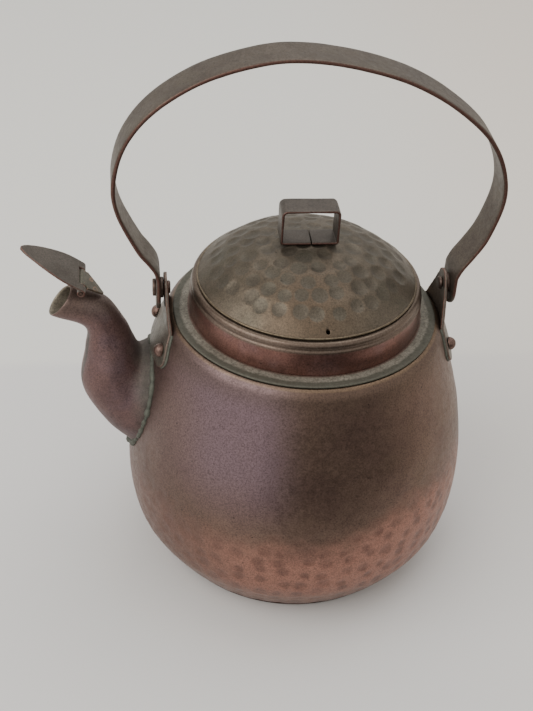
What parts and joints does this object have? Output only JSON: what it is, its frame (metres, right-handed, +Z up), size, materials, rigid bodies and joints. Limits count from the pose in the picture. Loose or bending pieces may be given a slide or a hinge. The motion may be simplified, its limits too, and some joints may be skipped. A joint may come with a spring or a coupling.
{
  "type": "kettle",
  "caption": "Hammered copper kettle with a domed slip-on lid, a folded strip handle, a gooseneck spout with a hinged leaf flap and a swinging strap bail on riveted ears.",
  "frame": {"origin": "centre of the base's flat underside, on the body's axis", "axes": "+Z up along the body's axis; the spout points to -X and the bail's pivots lie along X"},
  "size_m": [0.2452, 0.19, 0.2992],
  "materials": {
    "body_copper": "hammered patinated copper, darker toward the shoulder and orange toward the base",
    "base_copper": "soot-dulled copper sheet",
    "collar_tinned": "grey-green tinned and solder-smeared copper",
    "spout_copper": "purple-brown patinated copper",
    "flap_copper": "grey-brown tarnished copper sheet",
    "hinge_metal": "olive solder-smeared copper",
    "pin_iron": "dark rusted wire",
    "ear_copper": "grey-green verdigris over copper",
    "rivet_copper": "worn pinkish copper",
    "pivot_metal": "dark tarnished copper",
    "bail_copper": "grey-brown tarnished strap with reddish edges",
    "lid_copper": "hammered olive-brown copper",
    "lid_band_copper": "red-brown copper with a grey bead",
    "handle_copper": "grey-brown tarnished strip with reddish edges"
  },
  "bodies": {
    "kettle": {"body_shell": "body_copper", "base_disc": "base_copper", "collar_ring": "collar_tinned", "neck_ring": "base_copper", "spout": "spout_copper", "spout_hinge_plate": "hinge_metal", "flap_hinge_pin": "pin_iron", "ear_left": "ear_copper", "ear_right": "ear_copper", "ear_rivet_left_front": "rivet_copper", "ear_rivet_left_back": "rivet_copper", "ear_rivet_right_front": "rivet_copper", "ear_rivet_right_back": "rivet_copper", "pivot_washer_left": "pivot_metal", "pivot_washer_right": "pivot_metal", "pivot_rivet_left": "pivot_metal", "pivot_rivet_right": "pivot_metal"},
    "bail": {"bail_strap": "bail_copper"},
    "lid": {"lid_dome": "lid_copper", "lid_band": "lid_band_copper", "lid_handle": "handle_copper"},
    "flap": {"spout_flap": "flap_copper"}
  },
  "joints": [
    {"name": "bail_swing", "type": "hinge", "parent": "kettle", "child": "bail", "pos_m": [0, 0, 0.168], "axis": [1, 0, 0], "range_deg": [-126, 126]},
    {"name": "lid_lift", "type": "slide", "parent": "kettle", "child": "lid", "axis": [0, 0, 1], "range_m": [0, 0.06]},
    {"name": "flap_hinge", "type": "hinge", "parent": "kettle", "child": "flap", "pos_m": [-0.1178, 0, 0.1736], "axis": [0, -1, 0], "range_deg": [-55, 78]}
  ]
}
